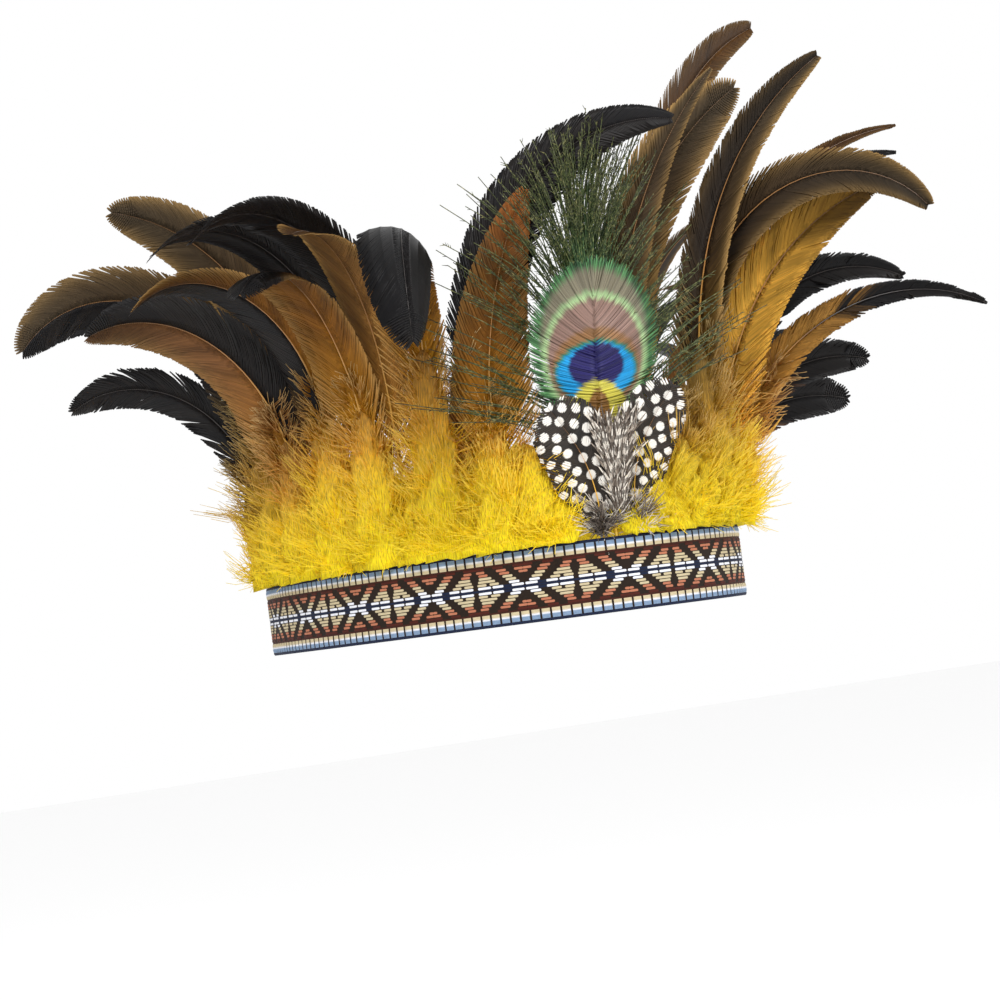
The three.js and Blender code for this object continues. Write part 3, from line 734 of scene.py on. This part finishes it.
def vane_material(name, stops):
    """A cock's feather dyed yellow: keratin barbs, half matt and a little see-through, black and
    glossy where it holds its own pigment."""
    material, node = new_material(name)
    along, reach, lot, dark, down, across, up, rim, bright = (
        node("Attribute", attribute_name=key, output="Fac")
        for key in ("along", "reach", "lot", "dark", "down", "across", "up", "rim", "bright"))
    uneven = node("MULTIPLY_ADD", lot, 0.10, -0.05)
    ground = node("ValToRGB", node("ADD", along, uneven), stops=stops)
    # Fine streaks follow the barbs, and broad ones stand for barbs that lie together.
    slant = node("ABSOLUTE", across)
    slant = node("MULTIPLY_ADD", slant, -BARB_SLANT, up)
    fine = node("TexNoise", noise_dimensions="1D", W=slant, Scale=1.6, Detail=2.0)
    broad = node("TexNoise", noise_dimensions="1D", W=slant, Scale=0.13, Detail=1.0)
    streak = node("ADD", node("MULTIPLY", fine, 0.9), node("MULTIPLY", broad, 0.7))
    # Down has hair-fine streaks that run up the feather instead.
    spot = node("CombineXYZ", node("MULTIPLY", across, 2.4), node("MULTIPLY", up, 0.3), 0.0)
    fluff = node("TexNoise", Vector=spot, Scale=1.0, Detail=3.0)
    fluff_streak = node("MULTIPLY_ADD", fluff, 2.6, -0.40)
    change = node("SUBTRACT", fluff_streak, streak)
    streak = node("MULTIPLY_ADD", down, change, streak)
    lightness = node("ADD", node("MULTIPLY_ADD", lot, 0.35, 0.03), streak)
    ground = shaded(node, ground, lightness)
    # Loose barbs pale towards their hair-fine ends, and so do the edges of some vanes.
    hair = node("MULTIPLY", down, node("POWER", reach, 2.0))
    pale = node("MULTIPLY", hair, node("MULTIPLY_ADD", along, 1.2, 0.05))
    ground = node("Mix", pale, ground, linear(0xE8CF94), data_type="RGBA")
    edge = node("MULTIPLY", node("POWER", reach, 4.0), rim)
    ground = node("Mix", edge, ground, linear(0xC9A060), data_type="RGBA")
    # bright is below 0 for a fox-red tip, and above 0 for a golden lower half.
    fox = node("MULTIPLY", node("MINIMUM", bright, 0.0), node("MapRange", along, 0.80, 0.97, 0.0, -1.0))
    ground = node("Mix", fox, ground, shaded(node, linear(0xB2682E), lightness), data_type="RGBA")
    sunny = node("MULTIPLY", node("MAXIMUM", bright, 0.0), node("MapRange", along, 1.0, 0.6, 0.0, 1.0))
    ground = node("Mix", sunny, ground, shaded(node, linear(0xE2AC42), lightness), data_type="RGBA")
    black = node("Mix", lot, linear(0x0B0B0E), linear(0x1A1614), data_type="RGBA")
    color = node("Mix", dark, ground, black, data_type="RGBA")
    rough = node("MULTIPLY_ADD", dark, -0.25, 0.62)
    fluff_height = node("MULTIPLY_ADD", fluff, 3.0, -1.5)
    height = node("MULTIPLY_ADD", down, fluff_height, fine)
    bump = node("Bump", Strength=0.7, Distance=0.0006, Height=height)
    barb = node("BsdfPrincipled", color, Roughness=rough, Normal=bump, Specular_IOR_Level=0.2)
    # Down lets the most light through, and black barbs the least.
    share = node("MULTIPLY_ADD", dark, -0.2, node("MULTIPLY_ADD", down, 0.12, 0.3))
    node("OutputMaterial", node("MixShader", share, barb, node("BsdfTranslucent", color)))
    return material


def shaft_material():
    """Horn-like keratin of the shaft: smooth, yellow at the dyed foot and straw above it."""
    material, node = new_material("dyed_keratin_shaft")
    along, dark = (node("Attribute", attribute_name=key, output="Fac") for key in ("along", "dark"))
    color = node("ValToRGB", along, stops=((0, 0xE8C81E), (0.3, 0xD9A63A), (0.6, 0x9A6A34), (1, 0x4A3420)))
    color = node("Mix", dark, color, linear(0x241C18), data_type="RGBA")
    node("OutputMaterial", node("BsdfPrincipled", color, Roughness=0.35, IOR=1.55))
    return material


def inside_oval(node, x, y, middle, half, soft=0.06):
    """1 inside an oval and 0 outside it, with a soft edge."""
    dx = node("DIVIDE", node("SUBTRACT", x, middle[0]), half[0])
    dy = node("DIVIDE", node("SUBTRACT", y, middle[1]), half[1])
    square = node("ADD", node("MULTIPLY", dx, dx), node("MULTIPLY", dy, dy))
    away = node("SQRT", square)
    return node("MapRange", away, 1 + soft, 1 - soft, 0.0, 1.0)


# The eye's zones from the outside in: middle and half axes in millimetres, and colour.
EYE_ZONES = (
    ((0, 2.4), (18.6, 22.8), 0x6E6856),
    ((0, -4.2), (18.3, 21.4), 0x93B680),
    ((0, -4.2), (16.9, 19.6), 0x7C6258),
    ((0, -8.0), (15.4, 13.0), 0x7E5A36),
    ((0, -9.1), (14.6, 10.2), 0x1B6B52),
    ((0, -9.5), (13.8, 9.5), 0x0C84BA),
    ((0, -7.6), (9.7, 7.5), 0x17124F),
    ((0, -24.0), (10.4, 11.4), 0xB5AC42),
    ((0, -26.5), (4.4, 11.0), 0x75501F),
)


def peacock_material():
    """Peacock barbs: keratin with structural colour, so it has a metallic gloss in the eye and a
    green to bronze one in the loose herl."""
    material, node = new_material("peacock_barbs")
    x, y, lot, along, kind = (node("Attribute", attribute_name=key, output="Fac")
                              for key in ("across", "up", "lot", "along", "kind"))
    # The zones' edges are ragged, because each barb is coloured by itself.
    y = node("ADD", y, node("MULTIPLY_ADD", lot, 1.6, -0.8))
    color = node("Mix", lot, linear(0x17381F), linear(0x4C7C4C), data_type="RGBA")
    for middle, half, zone in EYE_ZONES:
        color = node("Mix", inside_oval(node, x, y, middle, half), color, linear(zone), data_type="RGBA")
    color = shaded(node, color, node("MULTIPLY_ADD", lot, 0.5, 0.75))
    # Painted glints: the barbules of loose herl are painted pale one by one, about 1 mm apart, where they
    # would catch the light.
    spot = node("CombineXYZ", x, y, node("MULTIPLY", lot, 90.0))
    glint_speck = node("TexNoise", Vector=spot, Scale=0.9, Detail=2.0)
    herl = node("ValToRGB", glint_speck, stops=((0.3, 0x17190F), (0.45, 0x2E351C),
                                          (0.56, 0x5A6634), (0.70, 0xA49C64)))
    towards_tip = node("POWER", along, 0.6)
    green = node("Mix", towards_tip, linear(0x2F7A48), linear(0x3A341C), data_type="RGBA")
    herl = node("Mix", 0.45, herl, green, data_type="RGBA")
    color = node("Mix", kind, color, herl, data_type="RGBA")
    node("OutputMaterial", node("BsdfPrincipled", color, Roughness=0.38, Metallic=0.25))
    return material


SPOT_PITCH = 4.9                  # spots stand this far apart, in crossed diagonal rows


def guinea_material():
    """Guinea-fowl barbs: matt black-brown keratin with rows of unpigmented white spots."""
    material, node = new_material("guinea_fowl_barbs")
    x, y, lot, down = (node("Attribute", attribute_name=key, output="Fac")
                       for key in ("across", "up", "lot", "down"))
    diagonal = 1 / (SPOT_PITCH * math.sqrt(2))
    first = node("MULTIPLY", node("ADD", x, y), diagonal)
    second = node("MULTIPLY", node("SUBTRACT", y, x), diagonal)
    grid = node("CombineXYZ", first, second, 0.0)
    away = node("TexVoronoi", voronoi_dimensions="2D", Vector=grid, Scale=1.0, Randomness=0.22)
    spot = node("MapRange", away, 0.36, 0.30, 0.0, 1.0)
    dark = node("Mix", lot, linear(0x14100E), linear(0x33291F), data_type="RGBA")
    color = node("Mix", spot, dark, linear(0xEDE9E2), data_type="RGBA")
    # The soft foot is grey, with faint bars.
    hair = node("ValToRGB", lot, stops=((0.2, 0x5A4E44), (0.5, 0xA09284), (0.8, 0xE4DCD0)))
    bars = node("MULTIPLY_ADD", lot, 5.0, node("MULTIPLY", y, 1.7))
    bars = node("MapRange", node("SINE", bars), 0.1, 0.6, 0.0, 0.7)
    hair = node("Mix", bars, hair, linear(0x3A302A), data_type="RGBA")
    color = node("Mix", down, color, hair, data_type="RGBA")
    barb = node("BsdfPrincipled", color, Roughness=0.6)
    node("OutputMaterial", node("MixShader", 0.15, barb, node("BsdfTranslucent", color)))
    return material


# ---- Ribbon -----------------------------------------------------------------------------------
REPEAT = 34.4
REPEATS = round(RIBBON_LENGTH / REPEAT)
WOVEN_LENGTH = REPEAT * REPEATS   # the figure is scaled by a hair, to close round the ribbon
MOTIF_MIDDLE = 12.7               # a cross stands here along the ribbon
PICK = 1.05                       # height of one row of floats
NAVY_LINE = 0.35                  # half the height of the middle line, below the first row
# The woven figure, for a quarter of its repeat: the row, counted from the navy middle line,
# the start and end of a float, from the middle of a cross, and its yarn. The rest is dark ground.
FLOATS = (
    (1, 0.3, 4.4, "white"), (1, 7.3, 11.1, "white"), (1, 11.7, 16.3, "white"), (1, 4.4, 7.3, "navy"),
    (2, 1.7, 5.2, "white"), (2, 8.8, 12.0, "cream"), (2, 13.2, 16.4, "cream"),
    (3, 2.7, 6.2, "cream"), (3, 10.0, 16.0, "cream"),
    (4, 3.8, 7.2, "cream"), (4, 11.2, 15.6, "cream"),
    (5, 4.8, 8.2, "salmon"), (5, 12.4, 15.6, "salmon"), (5, 0, 1.5, "salmon"),
    (6, 5.8, 9.2, "salmon"), (6, 13.4, 16.3, "salmon"), (6, 0, 2.9, "salmon"),
    (7, 6.7, 10.4, "red"), (7, 13.4, 17.2, "red"), (7, 0, 3.4, "red"),
)
YARNS = {"navy": 0x121C34, "white": 0xD6D8E0, "cream": 0xB8AA8A, "salmon": 0xA86A50, "red": 0x451A12,
         "ground": 0x20160F, "sky": 0x7388A2}
FLOAT_RELIEF = 0.28               # how far a float stands proud of the ground
BLOCK_PITCH = 3.44                # a row of pale blocks stands above the figure, and one below
BLOCK_HALF = 1.36
BLOCK_LOW, BLOCK_HIGH = 8.2, 11.5  # their distances from the middle line
BLOCK_RELIEF = 0.3
RED_LINE = 7.95                   # a dim red line runs under the blocks
SELVEDGE = 11.6                   # the navy edge starts here
RIBBON_COLUMNS, RIBBON_ROWS = 1054, 44
UV_STRIPS = 5                     # the ribbon lies on its UV map in this many lengths
THREADS, PICKS = 3.8, 2.3         # a millimetre, round the ribbon and across it


def float_middle(row):
    """The distance of a row of floats from the middle line."""
    return NAVY_LINE + (row - 0.5) * PICK


def relief(s, z):
    """How far the floats stand proud of the ground."""
    x = np.mod(s - MOTIF_MIDDLE, REPEAT)
    x = np.minimum(x, REPEAT - x)
    away = np.abs(z - RIBBON_HEIGHT / 2)
    height = np.zeros_like(x)
    for row, start, end, _ in FLOATS:
        across = np.clip(1 - np.abs(away - float_middle(row)) / (PICK * 0.62), 0, 1)
        along = np.clip(np.minimum(x - start, end - x) / 0.6 + 0.5, 0, 1)
        height = np.maximum(height, FLOAT_RELIEF * np.sqrt(across) * along)
    block = np.mod(s, BLOCK_PITCH)
    block = np.minimum(block, BLOCK_PITCH - block)
    tall = np.clip(np.minimum(away - BLOCK_LOW, BLOCK_HIGH - away) / 0.4, 0, 1)
    up = np.clip((BLOCK_HALF - block) / 0.5, 0, 1) * tall
    return np.maximum(height, BLOCK_RELIEF * up) + 0.15 * smooth(away, SELVEDGE, SELVEDGE + 0.3)


def ribbon(material):
    """The woven band: an oval ring of ribbon with its relief outside and a plain back."""
    columns, rows = RIBBON_COLUMNS, RIBBON_ROWS
    s = np.arange(columns) * RIBBON_LENGTH / columns
    z = np.linspace(0, RIBBON_HEIGHT, rows)
    woven = s / RIBBON_LENGTH * REPEAT * REPEATS
    point, _, outward = ribbon_place(s)
    S, Z = np.meshgrid(woven, z)
    rounded = 0.35 * smooth(np.abs(Z - RIBBON_HEIGHT / 2), 11.9, 12.5)
    out = -0.1 + RIBBON_THICKNESS / 2 + relief(S, Z) - rounded
    outer = point[None] + outward[None] * out[..., None]
    outer[..., 2] = Z
    inner_rows = np.array([RIBBON_HEIGHT - 0.2, RIBBON_HEIGHT / 2, 0.2])
    inner = np.repeat((point - outward * RIBBON_THICKNESS / 2)[None], 3, 0)
    inner[..., 2] = inner_rows[:, None]
    grid = np.concatenate([outer, inner])
    height = len(grid)
    index = np.arange(height * columns).reshape(height, columns)
    beside = np.roll(index, -1, 1)
    above, beside_above = np.roll(index, -1, 0), np.roll(beside, -1, 0)
    faces = np.stack([index, above, beside_above, beside], -1).reshape(-1, 4)
    mesh = bpy.data.meshes.new("woven_ribbon")
    mesh.from_pydata((grid.reshape(-1, 3) * MM).tolist(), [], faces.tolist())
    # Each corner of a face gets its place along and up the ribbon, which runs on where it closes.
    beside_woven = np.append(woven[1:], woven[0] + WOVEN_LENGTH)
    face_s = np.stack([woven, woven, beside_woven, beside_woven], -1)
    face_s = np.broadcast_to(face_s, (height, columns, 4)).reshape(-1, 4)
    level = np.concatenate([z, inner_rows])
    level_above = np.roll(level, -1)
    face_z = np.stack([level, level_above, level_above, level], -1)
    face_z = np.repeat(face_z[:, None], columns, 1).reshape(-1, 4)
    back = np.repeat(np.arange(height) >= rows, columns)
    back = np.repeat(back[:, None], 4, 1)
    # The UV map holds the outside in a few lengths, one above the other, and the back in one strip.
    part = np.minimum((face_s[:, :1] / WOVEN_LENGTH * UV_STRIPS).astype(int), UV_STRIPS - 1)
    u = face_s / WOVEN_LENGTH * UV_STRIPS - part
    v = (part + 0.04 + 0.88 * face_z / RIBBON_HEIGHT) / (UV_STRIPS + 1)
    v = np.where(back, 0.93 + 0.05 * face_z / RIBBON_HEIGHT, v)
    uv = mesh.uv_layers.new(name="OFBake")
    uv.data.foreach_set("uv", np.stack([u, v], -1).astype(np.float32).ravel())
    for key, value in (("s", face_s), ("z", face_z), ("back", back)):
        attribute = mesh.attributes.new(key, "FLOAT", "CORNER")
        attribute.data.foreach_set("value", value.astype(np.float32).ravel())
    mesh.materials.append(material)
    mesh.shade_smooth()
    mesh.update()
    piece = bpy.data.objects.new("woven_ribbon", mesh)
    bpy.context.scene.collection.objects.link(piece)
    return piece


def ribbon_material():
    """Jacquard ribbon of viscose yarn: floats on a matt dark ground, with a soft shine painted into the
    colour of all its threads.
    """
    material, node = new_material("jacquard_viscose_ribbon")
    s, z, back = (node("Attribute", attribute_name=key, output="Fac") for key in ("s", "z", "back"))
    x = node("PINGPONG", node("SUBTRACT", s, MOTIF_MIDDLE), REPEAT / 2)
    away = node("ABSOLUTE", node("SUBTRACT", z, RIBBON_HEIGHT / 2))
    middle_line = node("COMPARE", away, 0.0, NAVY_LINE - 0.01)
    color = node("Mix", middle_line, linear(YARNS["ground"]), linear(YARNS["navy"]), data_type="RGBA")
    for row, start, end, yarn in FLOATS:
        # The ends of a float are round.
        far = node("ABSOLUTE", node("SUBTRACT", x, (start + end) / 2))
        far = node("SUBTRACT", far, (end - start) / 2 - 0.35)
        far = node("MAXIMUM", far, 0.0)
        side = node("SUBTRACT", away, float_middle(row))
        square = node("ADD", node("MULTIPLY", far, far), node("MULTIPLY", side, side))
        mask = node("MapRange", square, 0.19, 0.12, 0.0, 1.0)
        color = node("Mix", mask, color, linear(YARNS[yarn]), data_type="RGBA")
    block = node("PINGPONG", s, BLOCK_PITCH / 2)
    block = node("LESS_THAN", block, BLOCK_HALF)
    tall = node("COMPARE", away, (BLOCK_LOW + BLOCK_HIGH) / 2, (BLOCK_HIGH - BLOCK_LOW) / 2)
    share = node("MapRange", away, BLOCK_LOW, BLOCK_HIGH, 0.0, 1.0)
    pale = node("ValToRGB", share, stops=((0.3, YARNS["cream"]), (0.5, YARNS["white"]),
                                          (0.62, YARNS["sky"]), (1, YARNS["sky"])))
    color = node("Mix", node("MULTIPLY", block, tall), color, pale, data_type="RGBA")
    line = node("COMPARE", away, RED_LINE, 0.3)
    line = node("MULTIPLY", line, 0.6)
    color = node("Mix", line, color, linear(YARNS["red"]), data_type="RGBA")
    edge = node("GREATER_THAN", away, SELVEDGE - 0.05)
    color = node("Mix", edge, color, linear(YARNS["navy"]), data_type="RGBA")
    color = node("Mix", back, color, linear(0x2B2A30), data_type="RGBA")
    # Single threads run round the ribbon, and picks cross them. Painted shade and light: where they cross,
    # the yarn colours are darkened and lightened a little in a fine check.
    threads = node("SINE", node("MULTIPLY", z, 2 * math.pi * THREADS))
    picks = node("SINE", node("MULTIPLY", s, 2 * math.pi * PICKS))
    weave_shade = node("MULTIPLY_ADD", node("MULTIPLY", threads, picks), 0.09, 0.96)
    # Painted sheen: each thread is painted a little lighter or darker along its length, as if it took the
    # light differently.
    sheen_fleck = node("CombineXYZ", node("MULTIPLY", s, 0.6), node("MULTIPLY", z, 2.2), 0.0)
    sheen_fleck = node("TexNoise", Vector=sheen_fleck, Scale=1.0, Detail=3.0)
    sheen_fleck = node("MULTIPLY_ADD", sheen_fleck, 0.5, 0.75)
    color = shaded(node, color, node("MULTIPLY", weave_shade, sheen_fleck))
    height = node("ADD", threads, picks)
    bump = node("Bump", Strength=0.5, Distance=0.0001, Height=height)
    node("OutputMaterial", node("BsdfPrincipled", color, Normal=bump, Roughness=0.7, Specular_IOR_Level=0.15))
    return material


# ---- Putting it together --------------------------------------------------------------------
vanes = {kind: vane_material("dyed_cock_feather_" + kind, stops) for kind, stops in GROUNDS.items()}
shaft_keratin = shaft_material()

hackles = [dict(zip(COLUMNS, row)) for row in HACKLES]
for number, feather in enumerate(hackles):
    plume = hackle(feather, 100 + number, [vanes[feather["plumage"]], shaft_keratin])
    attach(plume, "root")
    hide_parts(feather["name"])

peacock = peacock_feather(400, [peacock_material(), shaft_keratin])
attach(peacock, "root")
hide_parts("peacock_eye_feather")

guinea_barbs = guinea_material()
for number, row in enumerate(GUINEA):
    feather = {**dict(zip(GUINEA_COLUMNS, row)), **GUINEA_OUTLINE}
    plume = guinea_feather(feather, 500 + number, [guinea_barbs, shaft_keratin])
    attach(plume, "root")
    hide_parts(feather["name"])

band = ribbon(ribbon_material())
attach(band, "root")
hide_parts("headband")


# ---- Stage, in metres ---------------------------------------------------------------------------
FLOOR_SIZE, FLOOR_Z = 12, -0.3
LIT_POINT = (0, -0.05, 0.08)
AZIMUTH, ELEVATION, ROLL = -30.4, -2.3, 7.4
LENS, SENSOR_WIDTH = 108.5, 36    # in millimetres, as they are on a real camera
CAMERA_DISTANCE = 1.1
AIM_RISE = 0.0336                 # from the middle of the ribbon up to the middle of the view


def area_light(name, place, size, power):
    """A round softbox that is turned to the headdress."""
    data = bpy.data.lights.new(name, "AREA")
    data.energy = power
    data.shape = "DISK"
    data.size = size
    lamp = bpy.data.objects.new(name, data)
    lamp.location = place
    lamp.rotation_euler = (Vector(LIT_POINT) - Vector(place)).to_track_quat("-Z", "Y").to_euler()
    bpy.context.scene.collection.objects.link(lamp)


def studio():
    """A white world, a white floor far below and two softboxes."""
    world = bpy.data.worlds.new("white_studio")
    bpy.context.scene.world = world
    bpy.context.scene.view_settings.view_transform = "Standard"
    world.use_nodes = True
    background = world.node_tree.nodes["Background"]
    background.inputs["Color"].default_value = (1, 1, 1, 1)
    background.inputs["Strength"].default_value = 1.0
    bpy.ops.mesh.primitive_plane_add(size=FLOOR_SIZE, location=(0, 0, FLOOR_Z))
    floor = bpy.context.object
    floor.name = "floor"
    material, node = new_material("white_paper_backdrop")
    node("OutputMaterial", node("BsdfPrincipled", (0.95, 0.95, 0.95, 1), Roughness=0.9))
    floor.data.materials.append(material)
    area_light("key_softbox", (-0.9, -1.3, 1.1), 0.6, 28)
    area_light("fill_softbox", (1.2, -0.9, 0.5), 0.9, 9)


def camera():
    """At the brow's height, to the wearer's left of the middle, and tilted a little."""
    azimuth, elevation, roll = (math.radians(x) for x in (AZIMUTH, ELEVATION, ROLL))
    back = Vector((math.sin(azimuth) * math.cos(elevation), -math.cos(azimuth) * math.cos(elevation),
                   math.sin(elevation)))
    right = Vector((math.cos(azimuth), math.sin(azimuth), 0))
    up = back.cross(right)
    right, up = (right * math.cos(roll) - up * math.sin(roll), right * math.sin(roll) + up * math.cos(roll))
    data = bpy.data.cameras.new("camera")
    data.sensor_width = SENSOR_WIDTH
    data.lens = LENS
    made = bpy.data.objects.new("camera", data)
    place = Vector((0, 0, RIBBON_HEIGHT / 2 * MM)) + up * AIM_RISE + back * CAMERA_DISTANCE
    made.matrix_world = Matrix((
        (right.x, up.x, back.x, place.x),
        (right.y, up.y, back.y, place.y),
        (right.z, up.z, back.z, place.z),
        (0, 0, 0, 1)))
    bpy.context.scene.collection.objects.link(made)
    bpy.context.scene.camera = made


studio()
camera()
